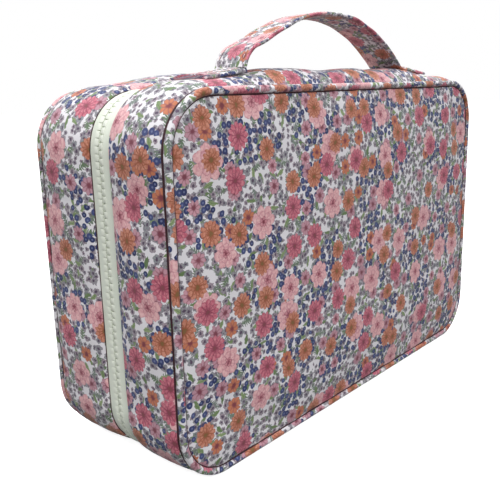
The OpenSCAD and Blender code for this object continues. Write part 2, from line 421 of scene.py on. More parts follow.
def draw_small_pinks(g, colour, where):
    spot = g.cell(where, 13.0, 0.7, 21)
    chance = spot[2]
    whole, rim, between, _, r = bloom(g, spot, 4.1, 8, 0.72, 1.1)
    tint = g.paint("#c796a1", "#b58b98", chance[1])
    tint = g.paint(tint, "#c07757", present(g, chance[0], 0.25))
    tint = g.paint(tint, "#8a4f5c", g.math("MAXIMUM", rim * 0.4, between * 0.6))
    tint = g.paint(tint, "#6f2c3c", (1 - g.ramp(r, 0.7, 2.0)) * 0.8)
    return g.paint(colour, tint, whole * present(g, chance[2], 0.62))


def floral(g, where):
    """Colour of the printed cloth."""
    wobble = g.noise(where, 2.2, out="Color")
    wobble = g.vector("MULTIPLY", g.vector("SUBTRACT", wobble, (0.5, 0.5, 0.5)), (2.2, 2.2, 0))
    drawn = g.vector("ADD", where, wobble)
    rough = g.ramp(g.noise(where, 1.5, 3.0), 0.35, 0.65)
    colour = g.paint("#e6e2e6", "#d8d5da", g.noise(where, 9.0))
    colour = draw_florets(g, colour, drawn, 3.3, 43)
    colour = draw_ferns(g, colour, drawn, 1)
    colour = draw_leaves(g, colour, drawn, 8.0, 2, 0.9)
    colour = draw_florets(g, colour, drawn, 5.0, 3)
    colour = draw_berries(g, colour, where, 5, 0.9)
    colour = draw_small_pinks(g, colour, drawn)
    colour = draw_roses(g, colour, drawn, rough)
    colour = draw_daisies(g, colour, drawn, rough)
    return colour


def weave(g, where, pitch):
    """Height of a plain weave."""
    x, y, _ = g.split(where)
    step = 2 * math.pi / pitch
    return g.math("SINE", x * step) * g.math("SINE", y * step)


def print_material():
    material, g, shader = new_material("print_cloth")
    where = cloth_place(g)
    g.fill(shader, {"Base Color": floral(g, where), "Roughness": 0.62, "Specular IOR Level": 0.3})
    g.fill(shader, {"Sheen Weight": 0.12, "Sheen Roughness": 0.5})
    soft = g.noise(where, 14.0) * 6.0
    bump(g, shader, weave(g, where, 0.9) + soft, 0.05 * MM, 0.6)
    return material


def tape_material():
    material, g, shader = new_material("zip_tape_twill")
    where = cloth_place(g)
    x, y, _ = g.split(where)
    ribs = g.math("SINE", (x + y) * (2 * math.pi / 0.9)) * 0.5 + 0.5
    tint = g.paint("#dde3d4", "#e6ebde", ribs * 0.6)
    tint = g.paint(tint, "#d2d9c7", g.ramp(g.noise(where, 5.0), 0.5, 0.8) * 0.35)
    g.fill(shader, {"Base Color": tint, "Roughness": 0.7, "Sheen Weight": 0.1})
    bump(g, shader, ribs, 0.06 * MM, 0.6)
    return material


def object_place(g):
    """Place in the object in metres."""
    return g.out(g.node("ShaderNodeTexCoord"), "Object")


def plastic_material():
    material, g, shader = new_material("zip_plastic_moulded")
    where = object_place(g)
    cloud = g.noise(where, 6 * MM, 3.0)
    g.fill(shader, {"Base Color": g.paint("#dde2d3", "#e6eadd", cloud), "Roughness": cloud * 0.15 + 0.36})
    bump(g, shader, g.noise(where, 0.4 * MM), 0.03 * MM, 0.4)
    return material


def lining_material():
    material, g, shader = new_material("lining_cloth")
    where = cloth_place(g)
    cloud = g.noise(where, 18.0, 3.0)
    tint = g.paint("#e6e0d3", "#efebe1", cloud)
    threads = weave(g, where, 1.1)
    tint = g.paint(tint, "#d3ccbc", g.ramp(threads, 0.2, 1.0) * 0.3)
    g.fill(shader, {"Base Color": tint, "Roughness": 0.55, "Sheen Weight": 0.15})
    bump(g, shader, threads + cloud * 5.0, 0.05 * MM, 0.6)
    return material


def thread_material(name, dark, light):
    material, g, shader = new_material(name)
    where = object_place(g)
    twist = g.noise(where, 0.8 * MM, 1.0)
    g.fill(shader, {"Base Color": g.paint(dark, light, twist), "Roughness": 0.8})
    bump(g, shader, twist, 0.05 * MM, 0.5)
    return material


WHITE = (1, 1, 1, 1)


def floor_material():
    material, g, shader = new_material("stage_white")
    where = object_place(g)
    cloud = g.noise(where, 0.4, 2.0)
    g.fill(shader, {"Base Color": g.paint("#f4f4f4", "#fafafa", cloud), "Roughness": 0.9})
    g.fill(shader, {"Emission Color": WHITE, "Emission Strength": 0.75})
    return material


def backdrop_material():
    material, g, shader = new_material("backdrop_white")
    g.fill(shader, {"Base Color": (0, 0, 0, 1), "Specular IOR Level": 0})
    g.fill(shader, {"Emission Color": WHITE, "Emission Strength": 1.0})
    return material


# Each finish is a material and the record's slot that it belongs to
PRINT = (print_material(), "print")
TAPE = (tape_material(), "zip_tape")
PLASTIC = (plastic_material(), "zip_plastic")
LINING_CLOTH = (lining_material(), "lining")
# The seam thread is near black. Its tubes by the piping and by the zipper are wide enough to stand in for the
# shade in those grooves too, so it is partly painted shade
SEAM_THREAD_AND_SHADE = (thread_material("seam_thread_and_shade", "#2c161c", "#47242d"), "thread")
STITCH_THREAD = (thread_material("stitch_thread", "#c9a9a6", "#e2c8c3"), "thread")


# ---- Mesh helpers ----

def add_piece(name, points, faces, corners, finish, sharp=60):
    """Object from points, faces and the cloth place of each face corner in millimetres."""
    mesh = bpy.data.meshes.new(name)
    mesh.from_pydata([tuple(p) for p in points], [], faces)
    layer = mesh.uv_layers.new(name="cloth")
    layer.data.foreach_set("uv", np.asarray(corners, np.float32).ravel())
    material, slot = finish
    mesh.materials.append(material)
    piece = bpy.data.objects.new(name, mesh)
    bpy.context.scene.collection.objects.link(piece)
    mark_sharp(mesh, sharp)
    return piece


def mark_sharp(mesh, degrees):
    """Smooth shading, with edges sharper than that angle left crisp."""
    made = bmesh.new()
    made.from_mesh(mesh)
    bmesh.ops.recalc_face_normals(made, faces=made.faces)
    limit = math.radians(degrees)
    for face in made.faces:
        face.smooth = True
    for edge in made.edges:
        edge.smooth = len(edge.link_faces) != 2 or edge.calc_face_angle(0.0) < limit
    made.to_mesh(mesh)
    made.free()


def grid_faces(rows, columns, wrap_rows, wrap_columns):
    """Faces of a grid of points, with each face corner's row and column, not wrapped round."""
    faces, places = [], []
    for i in range(rows if wrap_rows else rows - 1):
        for j in range(columns if wrap_columns else columns - 1):
            corners = ((i, j), (i + 1, j), (i + 1, j + 1), (i, j + 1))
            faces.append([(a % rows) * columns + b % columns for a, b in corners])
            places.extend(corners)
    return faces, places


def add_grid(name, grid, cloth, finish, capped=False, wrap_columns=True, sharp=60):
    """Object from a grid of points. Its last row joins its first, unless both are capped. cloth has one
    more row or column than the grid where that way wraps."""
    rows, columns = grid.shape[:2]
    faces, places = grid_faces(rows, columns, not capped, wrap_columns)
    corners = [cloth[a, b] for a, b in places]
    if capped:
        for i in (0, rows - 1):
            faces.append([i * columns + j for j in range(columns)])
            corners.extend(cloth[i, j] for j in range(columns))
    return add_piece(name, grid.reshape(-1, 3), faces, corners, finish, sharp)


def add_disc(name, rings, cloth, ends, end_cloth, finish, sharp=60):
    """Object from closed rings, closed at both ends with a fan to a point."""
    rows, columns = rings.shape[:2]
    faces, places = grid_faces(rows, columns, False, True)
    corners = [cloth[a, b % columns] for a, b in places]
    points = list(rings.reshape(-1, 3)) + list(ends)
    for k, i in enumerate((0, rows - 1)):
        tip = rows * columns + k
        for j in range(columns):
            nxt = (j + 1) % columns
            faces.append([i * columns + j, i * columns + nxt, tip])
            corners.extend([cloth[i, j], cloth[i, nxt], end_cloth[k]])
    return add_piece(name, points, faces, corners, finish, sharp)


def distances_along(points):
    """Distance of each point along its line from the first."""
    return np.concatenate([[0], np.cumsum(np.linalg.norm(np.diff(points, axis=0), axis=1))])


def swept(around, ys, insets):
    """Grid of points: each outline sample's section, from its y and its inset, and never below the floor."""
    x, z, nx, nz = (column[:, None] for column in around.T)
    return np.stack([x - nx * insets, ys + 0 * insets, np.maximum(z - nz * insets, 0)], axis=-1)


def strip_cloth(distances, grid, wrap, middle=None, shift=(0, 0)):
    """Cloth places of a swept band in millimetres: along the outline, and along each section. The shift gives
    each piece a part of the print of its own."""
    steps = np.linalg.norm(np.diff(grid, axis=1, append=grid[:, :1]), axis=2)
    across = np.concatenate([np.zeros((len(grid), 1)), np.cumsum(steps, axis=1)], axis=1)
    if middle is not None:
        across -= across[:, middle:middle + 1]
    if wrap:
        across = np.concatenate([across, across[:1]])
        distances = np.append(distances, EDGE_LINE.length)
    along = np.broadcast_to(np.asarray(distances)[:, None], across.shape)
    return np.stack([along, across], axis=-1) / MM + shift


# ---- Walls ----

def far_gap(half):
    """Distance from the zipper's middle line to the wall's seam by the piping."""
    return WALL_EDGE - HALVES[half] * ZIP_Y


def crown_shape(v):
    """Share of the crown at v from 0 at the zipper to 1 at the piping."""
    return np.clip(1 - np.abs(2 * v - 1) ** 3.2, 0, 1) ** 0.85


def rolled(distance, reach, drop):
    """Drop of a rounded edge at a distance in from it."""
    t = np.clip(1 - distance / reach, 0, 1)
    return drop * (1 - np.sqrt(1 - t * t))


# The simulated sheets' steps, the height that their swelling levels off at, and the shares of it used
RELIEF_STEP = 5 * MM
RELIEF_CAP = 2.6 * MM
RELIEF_PRESSURE = 0.6
WALL_RELIEF = 0.35
PANEL_RELIEF = 0.5
WALL_RELIEF_STEPS = 10


def edge_room(x, z):
    """Distance in from the bag's outline, seen from the front."""
    past_x = np.abs(x) - (HALF_W - CORNER)
    past_z = np.abs(z - HEIGHT / 2) - (HEIGHT / 2 - CORNER)
    beyond = np.hypot(np.maximum(past_x, 0), np.maximum(past_z, 0))
    return CORNER - beyond - np.minimum(np.maximum(past_x, past_z), 0)


def simulated_relief(flat, pinned, seed):
    """Heights of a sheet of padded cloth, a little too big for its frame, blown out by its filling."""
    start = flat.copy()
    start[:, :, 2] += ripple(flat, 38 * MM, seed) * 0.4 * MM
    mesh = bpy.data.meshes.new("relief")
    faces, _ = grid_faces(*flat.shape[:2], False, False)
    mesh.from_pydata(start.reshape(-1, 3).tolist(), [], faces)
    sheet = bpy.data.objects.new("relief", mesh)
    bpy.context.collection.objects.link(sheet)
    sheet.vertex_groups.new(name="pinned").add(np.flatnonzero(pinned).tolist(), 1.0, "REPLACE")
    cloth = sheet.modifiers.new("Cloth", "CLOTH").settings
    cloth.quality = 6
    cloth.bending_stiffness = 2.0
    cloth.vertex_group_mass = "pinned"
    cloth.shrink_min = -0.012
    cloth.use_pressure = True
    cloth.uniform_pressure_force = RELIEF_PRESSURE
    cloth.effector_weights.gravity = 0
    for number in range(1, 21):
        bpy.context.scene.frame_set(number)
    settled = sheet.evaluated_get(bpy.context.evaluated_depsgraph_get())
    heights = np.array([point.co.z for point in settled.data.vertices]).reshape(flat.shape[:2])
    bpy.data.objects.remove(sheet)
    bpy.context.scene.frame_set(1)
    return np.round(RELIEF_CAP * np.tanh(heights / RELIEF_CAP), 5)


def flat_sheet(us, vs):
    """Flat grid of points over two ranges."""
    return np.stack([*np.meshgrid(us, vs, indexing="ij"), np.zeros((len(us), len(vs)))], axis=-1)


def sampled(heights, u, v):
    """Heights between the points of a relief, at places in steps along both ways."""
    i = np.clip(np.floor(u).astype(int), 0, heights.shape[0] - 2)
    j = np.clip(np.floor(v).astype(int), 0, heights.shape[1] - 2)
    s, t = u - i, v - j
    low = heights[i, j] * (1 - s) + heights[i + 1, j] * s
    high = heights[i, j + 1] * (1 - s) + heights[i + 1, j + 1] * s
    return low * (1 - t) + high * t


def panel_relief(half):
    """A panel's swelling and folds as a function of place."""
    us = np.arange(-HALF_W, HALF_W + RELIEF_STEP, RELIEF_STEP)
    vs = np.arange(0, HEIGHT + RELIEF_STEP, RELIEF_STEP)
    flat = flat_sheet(us, vs)
    pinned = edge_room(flat[:, :, 0], flat[:, :, 1]) < PANEL_INSET + 3 * MM
    heights = simulated_relief(flat, pinned, 71 + HALVES[half])
    return lambda x, z: sampled(heights, (x + HALF_W) / RELIEF_STEP, z / RELIEF_STEP)


def wall_relief(half):
    """A wall's swelling and folds as a function of the distance round the bag and the share across."""
    depth = far_gap(half) - BAND
    us = np.arange(0, EDGE_LINE.length + RELIEF_STEP, RELIEF_STEP)
    vs = np.linspace(0, depth, WALL_RELIEF_STEPS + 1)
    flat = flat_sheet(us, vs)
    pinned = np.zeros(flat.shape[:2], bool)
    pinned[:, (0, -1)] = True
    heights = simulated_relief(flat, pinned, 81 + HALVES[half])
    # The last stretch fades into the first, so that the two ends meet
    joined = np.clip((EDGE_LINE.length - flat[:, :, 0]) / (30 * MM), 0, 1)
    heights = heights * joined + heights[:1] * (1 - joined)
    return lambda along, share: sampled(heights, along / RELIEF_STEP, share * WALL_RELIEF_STEPS)


def wall_grid(half, gaps, insets=None):
    """Points round the bag at gaps from the zipper's middle line, on the outline or at insets from it."""
    if insets is None:
        insets = np.zeros((ROUND, len(gaps)))
    return swept(AROUND, ZIP_Y + HALVES[half] * gaps, insets)


def inner_crown(half, gaps):
    """How far the inner faces follow the wall's crown out, at gaps from the zipper's middle line."""
    return 0.9 * CROWN * crown_shape((gaps - BAND) / (far_gap(half) - BAND))


def wall_outside(half):
    """A wall's printed face: gaps from the zipper's middle line, and insets at each sample round the bag."""
    side = HALVES[half]
    near, far = BAND, far_gap(half)
    share = (1 - np.cos(np.linspace(0, math.pi, 42))) / 2
    gaps = near + (far - near) * share
    edge_gap = far - gaps
    base = wall_grid(half, gaps)
    pucker = ripple(base, 7 * MM, 3 + side) * np.exp(-edge_gap / (5 * MM)) * 0.55 * MM
    hem_pucker = ripple(base, 9 * MM, 8 + side) * np.exp(-(gaps - near) / (4 * MM)) * 0.3 * MM
    wave = ripple(base, 34 * MM, 5 + side) * 0.5 * MM + ripple(base, 15 * MM, 6 + side) * 0.22 * MM
    relief = wall_relief(half)(*np.meshgrid(LOOP, share, indexing="ij"))
    wave = (wave - WALL_RELIEF * relief) * crown_shape(share)
    drop = rolled(gaps - near, 1.6 * MM, CLOTH) + rolled(edge_gap, 3.2 * MM, 1.9 * MM)
    return gaps, drop - CROWN * crown_shape(share) + pucker + hem_pucker + wave


def make_wall(half):
    """Printed cloth and foam as one pad: out over the crown, back inside, and a lip by the zipper."""
    side = HALVES[half]
    outer, outer_inset = wall_outside(half)
    inner = np.linspace(far_gap(half) - 0.5 * MM, TAPE_LAP, 16)
    inner_inset = PADDING - inner_crown(half, inner)
    lip = np.array([TAPE_LAP, BAND + 0.3 * MM])
    gaps = np.concatenate([outer, inner, lip])
    insets = np.concatenate([outer_inset, inner_inset, np.full((ROUND, len(lip)), CLOTH)], axis=1)
    grid = wall_grid(half, gaps, insets)
    shift = (31 * side, 260 + 70 * side)
    cloth = strip_cloth(LOOP, grid, True, middle=len(outer) // 2, shift=shift)
    piece = add_grid(f"{half}_wall_padded", grid, cloth, PRINT)
    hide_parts(f"{half}_wall", f"{half}_wall_foam")
    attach(piece, f"{half}_half")


# ---- Panels and piping ----

# A panel's rings follow the outline down to this inset, and shrink to the middle from there
RINGS_SHRINK_FROM = 22 * MM
# The last ring before the middle, as a share of the way in
LAST_RING = 0.97


def panel_rings(depths, faces):
    """Rings of a panel, from each one's depth in from the outline and its y."""
    x, z, nx, nz = AROUND.T
    rings = []
    for depth, y in zip(depths, faces):
        inset = min(depth, RINGS_SHRINK_FROM)
        shrink = 1 - max(depth - RINGS_SHRINK_FROM, 0) / (HEIGHT / 2 - RINGS_SHRINK_FROM)
        px, pz = x - nx * inset, z - nz * inset
        middle_z = HEIGHT / 2 + (pz - HEIGHT / 2) * shrink
        rings.append(np.stack([px * shrink, y + 0 * px, middle_z], axis=1))
    return np.array(rings)


def panel_front(half, rim):
    """Rings of a panel's printed face from its rim in, crowned, puckered at the piping and swollen."""
    side = HALVES[half]
    depths = rim + (HEIGHT / 2 * LAST_RING - rim) * (np.linspace(0, 1, 40) ** 1.9)
    room = depths - rim
    crown = 2.3 * MM * (1 - np.exp(-room / (20 * MM)))
    face = PANEL_FACE - rolled(room, 3.0 * MM, 1.9 * MM) + crown
    front = panel_rings(depths, side * face)
    fade = np.exp(-room / (6 * MM))[:, None]
    puckers = ripple(front, 7.5 * MM, 11 + side) * fade * 0.6 * MM
    waves = ripple(front, 45 * MM, 13 + side) * 0.7 * MM + ripple(front, 20 * MM, 14 + side) * 0.25 * MM
    waves += PANEL_RELIEF * panel_relief(half)(front[:, :, 0], front[:, :, 2])
    front[:, :, 1] += side * (puckers + waves * (1 - fade))
    return front


def make_panel(half):
    side = HALVES[half]
    middle = HEIGHT / 2
    rim = PANEL_INSET - 0.35 * MM - 2 * (PIPE_R - CORD_R)
    front = panel_front(half, rim)
    inner_depths = np.array([rim, rim, middle * 0.5, middle * LAST_RING])
    inner_faces = np.array([PANEL_FACE - 2.2 * MM, LINING_FACE, LINING_FACE, LINING_FACE]) * side
    rings = np.concatenate([front[::-1], panel_rings(inner_depths, inner_faces)])
    ends = [Vector((0, front[-1, :, 1].mean(), middle)), Vector((0, side * LINING_FACE, middle))]
    shift = (40 - 300 * side, 30)
    cloth = rings[:, :, [0, 2]] / MM + shift
    end_cloth = np.array([0, middle / MM]) + shift
    piece = add_disc(f"{half}_panel_padded", rings, cloth, ends, [end_cloth] * 2, PRINT)
    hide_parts(f"{half}_panel", f"{half}_panel_foam")
    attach(piece, f"{half}_half")


def add_loop_tube(name, y, inset, radius, finish, sides, seed, pucker=0.1):
    """Tube round the bag at a y and an inset, with a puckered cover."""
    angles = np.arange(sides) / sides * 2 * math.pi
    base = swept(AROUND, np.array([[y]]), np.full((ROUND, 1), inset))
    swell = 1 + pucker * ripple(base, 6 * MM, seed) + 0.5 * pucker * ripple(base, 2.6 * MM, seed + 1)
    ys = y + radius * swell * np.cos(angles)
    insets = inset - radius * swell * np.sin(angles)
    grid = swept(AROUND, ys, insets)
    cloth = strip_cloth(LOOP, grid, True, shift=(57 * seed, 400 + 31 * seed))
    return add_grid(name, grid, cloth, finish)


def make_piping(half):
    """The piping in the cloth of the print, with a dark seam thread on each side of it that also stands in
    for the shade in the grooves: partly painted shade.
    """
    side = HALVES[half]
    piece = add_loop_tube(
        f"{half}_piping_cord", side * CORD_Y, CORD_R, 1.02 * CORD_R, PRINT,
        sides=20, seed=20 + side, pucker=0.05,
    )
    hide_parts(f"{half}_piping")
    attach(piece, f"{half}_half")
    # Near-black threads, wide enough to darken the whole groove beside the piping: a real seam, and partly
    # painted shade
    seams = {
        "outer": (WALL_EDGE + 0.05 * MM, 1.15 * MM),
        "inner": (PANEL_FACE - 0.95 * MM, 2 * CORD_R + 0.15 * MM),
    }
    for place, (y, inset) in seams.items():
        seam = add_loop_tube(
            f"{half}_seam_{place}", side * y, inset, 0.75 * MM, SEAM_THREAD_AND_SHADE, sides=8, seed=24
        )
        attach(seam, f"{half}_half")


# ---- Zipper ----

def zip_distances(count):
    """Distances along the edge from the hinge's top round to its foot."""
    start = EDGE_LINE.hinge_top()
    end = EDGE_LINE.length + start - (HINGE_HIGH - HINGE_LOW)
    return np.linspace(start, end, count)


# Section of a tape, from the edge by the teeth round to the edge again: away from the middle line, and inset
TAPE_SECTION = np.array([
    [0.45, 1.72], [0.45, 1.42], [2.1, 1.4], [2.18, 0.75], [2.5, 0.5], [3.1, 0.46], [3.8, 0.6],
    [4.6, 0.85], [5.6, 1.02], [7.0, 1.08], [9.0, 1.05], [11.6, 1.05], [11.7, 1.4], [11.6, 1.8],
    [9.0, 1.8], [6.0, 1.8], [4.4, 1.85], [3.6, 2.2], [2.7, 2.2], [2.05, 1.85],
]) * MM
# How far the edge by the teeth moves to the middle line where the tapes meet
TAPE_MEETS_BY = 0.39 * MM


def make_tape(half):
    side = HALVES[half]
    distances = zip_distances(380)
    around = EDGE_LINE.samples(distances)
    base = swept(around, np.full((1, 1), ZIP_Y + side * 5 * MM), np.zeros((len(around), 1)))
    wave = ripple(base, 16 * MM, 31 + side) * 0.18 * MM
    gaps, depths = TAPE_SECTION.T
    insets = depths + wave * (gaps > 4 * MM)
    across = np.broadcast_to(gaps, insets.shape).copy()
    # The two tapes all but meet, except along the top, where the sliders' posts run between them
    on_top = smooth((around[:, 1] - HEIGHT) / (2 * MM) + 1)
    across[:, :2] -= TAPE_MEETS_BY * (1 - on_top[:, None])
    grid = swept(around, ZIP_Y + side * across, insets)
    cloth = strip_cloth(distances, grid, False)
    piece = add_grid(f"{half}_zip_tape_woven", grid, cloth, TAPE, capped=True)
    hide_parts(f"{half}_zip_tape")
    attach(piece, f"{half}_half")
    # A near-black thread along the wall's edge by the zipper: a painted shade line where the tape sits below
    # the wall
    shade_line_y = ZIP_Y + side * (BAND + 0.1 * MM)
    hem = add_loop_tube(f"{half}_zip_edge_painted_shade", shade_line_y, 1.0 * MM, 0.35 * MM, SEAM_THREAD_AND_SHADE, sides=6, seed=25)
    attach(hem, f"{half}_half")


def tooth_outline(root_half, head_half):
    """Outline of a tooth seen from outside: along the zipper, and away from its middle line."""
    side = np.array([
        [0.96 * root_half, 2.95 * MM], [root_half, 2.75 * MM], [root_half, 2.05 * MM],
        [head_half, 1.85 * MM], [head_half, 0.5 * MM], [0.84 * head_half, 0.24 * MM],
    ])
    return np.concatenate([side * [-1, 1], side[::-1]])


def tooth_grid(line, distance, side, root_half, head_half):
    """Levels of a tooth's outline, the top ones drawn in to round its edges."""
    x, z, nx, nz = line.at(distance)
    shape = tooth_outline(root_half, head_half)
    middle = shape.mean(axis=0)
    levels = [(-1.2 * MM, 0.97), (0.86 * MM, 1.0), (1.02 * MM, 0.97), (1.08 * MM, 0.88)]
    rows = []
    for rise, scale in levels:
        flat = middle + (shape - middle) * scale
        px = x + nx * rise - nz * flat[:, 0]
        pz = z + nz * rise + nx * flat[:, 0]
        rows.append(np.stack([px, ZIP_Y + side * flat[:, 1], pz], axis=1))
    return np.array(rows)


def join_blocks(name, blocks, finish, sharp=40):
    """One object from closed blocks, each a stack of rings with flat ends."""
    points, faces = [], []
    for block in blocks:
        rows, columns = block.shape[:2]
        start = len(points)
        sides, _ = grid_faces(rows, columns, False, True)
        faces.extend([start + i for i in face] for face in sides)
        faces.append([start + j for j in range(columns)])
        faces.append([start + (rows - 1) * columns + j for j in range(columns)])
        points.extend(block.reshape(-1, 3))
    corners = [(points[i][0] / MM, points[i][2] / MM) for face in faces for i in face]
    return add_piece(name, points, faces, corners, finish, sharp)


TOOTH_ROOT = 1.66 * MM
# The back half's teeth have wider heads, so that the two rows look meshed
TOOTH_HEAD = {"front": 1.40 * MM, "back": 1.62 * MM}
# Room at the ends of the zipper that the stops share, and the gaps that they leave
STOP_ROOM = 7 * MM
STOP_TO_END = 0.3 * MM
STOP_TO_TOOTH = 0.25 * MM


def make_teeth(half):
    """A row of moulded teeth, and a stop at each end of it."""
    side = HALVES[half]
    line = Outline(TOOTH_MID)
    start = line.hinge_top()
    run = line.length - (HINGE_HIGH - HINGE_LOW)
    count = int((run - STOP_ROOM) / TOOTH_PITCH)
    first = start + (run - (count - 1) * TOOTH_PITCH) / 2
    halves = (TOOTH_ROOT, TOOTH_HEAD[half])
    # The two rows stand half a pitch apart, each moved by a quarter
    shift = 0.25 * TOOTH_PITCH * side
    blocks = [tooth_grid(line, first + shift + i * TOOTH_PITCH, side, *halves) for i in range(count)]
    piece = join_blocks(f"{half}_zip_teeth_moulded", blocks, PLASTIC)
    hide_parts(f"{half}_zip_teeth")
    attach(piece, f"{half}_half")
    last = first + shift + (count - 1) * TOOTH_PITCH
    reach = TOOTH_ROOT + STOP_TO_TOOTH
    spans = [
        (start + STOP_TO_END, first + shift - reach),
        (last + reach, start + run - STOP_TO_END),
    ]
    ends = [tooth_grid(line, (a + b) / 2, side, (b - a) / 2, (b - a) / 2) for a, b in spans]
    stops = join_blocks(f"{half}_zip_stops_moulded", ends, PLASTIC)
    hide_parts(f"{half}_zip_stops")
    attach(stops, f"{half}_half")


# ---- Hinge strip ----

HINGE_THICK = 0.75 * MM


def make_hinge():
    """A strip of the printed cloth between the halves, along the hinge side of the bag."""
    rows, columns = 44, 60
    heights = np.linspace(HINGE_LOW, HINGE_HIGH, rows)
    gaps = np.linspace(-TAPE_LAP, TAPE_LAP, columns)
    outer_x = HALF_W - CLOTH - 0.05 * MM
    outer = np.stack(np.meshgrid([outer_x], ZIP_Y + gaps, heights, indexing="ij"), axis=-1)[0]
    wave = ripple(outer, 14 * MM, 41) * 0.35 * MM * np.clip(1 - np.abs(gaps) / BAND, 0, 1)[:, None]
    outer[:, :, 0] -= wave
    inner = outer.copy()
    inner[:, :, 0] -= HINGE_THICK
    grid = np.concatenate([outer, inner[::-1]]).transpose(1, 0, 2)
    steps = np.concatenate([gaps, gaps[::-1], gaps[:1]]) / MM
    along = np.broadcast_to(heights[:, None] / MM, (rows, 2 * columns + 1))
    across = np.broadcast_to(steps, along.shape)
    cloth = np.stack([along, across], axis=-1) + (700, 50)
    piece = add_grid("hinge_strip", grid, cloth, PRINT, capped=True)
    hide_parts("front_hinge_flap", "back_hinge_flap")
    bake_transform(piece)


# ---- Handle ----

HANDLE_Y = (tab_low.y + tab_high.y) / 2
STRAP_W = tab_high.y - tab_low.y
TAB_L = 28 * MM
LEFT_FOOT = tab_low.x + TAB_L
RIGHT_FOOT = right_tab_high.x - TAB_L
# Height of the strap's middle line over the crowned wall at its feet, and what its tabs and their stitches
# have more
FOOT_GAP = 0.45 * MM
TAB_RISE = 1.0 * MM
TAB_STITCH_RISE = 2.0 * MM
STRAP_HALF_THICK = 0.85 * MM
STRAP_EDGE = 0.9 * MM
# How far the strap's far edge stands to the right of its middle line, and its near edge to the left
STRAP_SKEW = 2.2 * MM
STRAP_POINTS = 220
STITCH_R = 0.24 * MM
STRAP_STITCH_INSET = 2.9 * MM
STRAP_STITCH_PITCH = 3.0 * MM
TAB_STITCH_INSET = 3.2 * MM
TAB_STITCH_PITCH = 2.8 * MM
# The strap's stiff left leg ends in a crease, then the strap runs on to its highest point
CREASE = np.array([LEFT_FOOT + 7 * MM, HEIGHT + 17.5 * MM])
APEX = np.array([-4 * MM, HEIGHT + 36 * MM])


def top_height(x):
    """Height of the crowned top wall along its middle."""
    around = np.array([[value, HEIGHT, 0.0, 1.0] for value in np.atleast_1d(x)])
    return HEIGHT + crown_height(around)


def bezier(a, b, c, d, count=40):
    """Points on the cubic curve from a to d, pulled towards b and c."""
    t = np.linspace(0, 1, count)[:, None]
    return a * (1 - t) ** 3 + 3 * b * t * (1 - t) ** 2 + 3 * c * t ** 2 * (1 - t) + d * t ** 3


def evenly(path, count):
    """The path with its points spread evenly, and the distance along it."""
    steps = distances_along(path)
    even = np.linspace(0, steps[-1], count)
    return np.stack([np.interp(even, steps, path[:, k]) for k in (0, 1)], axis=1), even


def strap_path():
    """The handle's middle line in X and Z, from the left tab's end to the right one's."""
    rise = APEX[1] - HEIGHT
    left, right = (np.array([x, top_height(x)[0] + FOOT_GAP]) for x in (LEFT_FOOT, RIGHT_FOOT))
    leg = bezier(left, left + [1 * MM, 0.2 * rise], CREASE - [3 * MM, 2.5 * MM], CREASE)
    slope = bezier(CREASE, CREASE + [-0.28 * LEFT_FOOT, 0.2 * rise], APEX - [34 * MM, 0], APEX)
    shoulder = bezier(APEX, APEX + [27 * MM, 0], right + [-0.62 * rise, 0.5 * rise], right)
    arch = np.concatenate([leg, slope[1:], shoulder[1:]])
    tabs = []
    for foot, outwards in ((LEFT_FOOT, -1), (RIGHT_FOOT, 1)):
        xs = foot + outwards * np.linspace(1.8 * MM, TAB_L, 22)
        tabs.append(np.stack([xs, top_height(xs) + FOOT_GAP + TAB_RISE], axis=1))
    path, _ = evenly(np.concatenate([tabs[0][::-1], arch, tabs[1]]), STRAP_POINTS)
    # Smoothed three times, so that no curve meets the next at an angle
    for _ in range(3):
        path[1:-1] = 0.25 * path[:-2] + 0.5 * path[1:-1] + 0.25 * path[2:]
    return evenly(path, STRAP_POINTS)


def strap_section():
    """Closed section of the strap: across and up, with turned edges and a groove under the stitching."""
    half_width = STRAP_W / 2
    across = np.linspace(-1, 1, 33) * (half_width - STRAP_EDGE)
    from_stitches = half_width - np.abs(across) - STRAP_STITCH_INSET
    groove = np.exp(-(from_stitches / (0.55 * MM)) ** 2) * 0.42 * MM
    swell = 0.25 * MM * (1 - (across / half_width) ** 2)
    top = np.stack([across, STRAP_HALF_THICK + swell - groove], axis=1)
    turn = [math.radians(angle) for angle in np.linspace(90, -90, 7)[1:-1]]
    edge = np.array([[math.cos(a) * STRAP_EDGE, math.sin(a) * STRAP_HALF_THICK] for a in turn])
    right = edge + [half_width - STRAP_EDGE, 0]
    bottom = np.stack([across[::-1], -(STRAP_HALF_THICK + 0.5 * swell - groove)[::-1]], axis=1)
    left = np.stack([-right[::-1, 0], right[::-1, 1]], axis=1)
    return np.concatenate([top, right, bottom, left])


def path_normals(path):
    step = np.gradient(path, axis=0)
    step /= np.linalg.norm(step, axis=1)[:, None]
    return np.stack([-step[:, 1], step[:, 0]], axis=1)


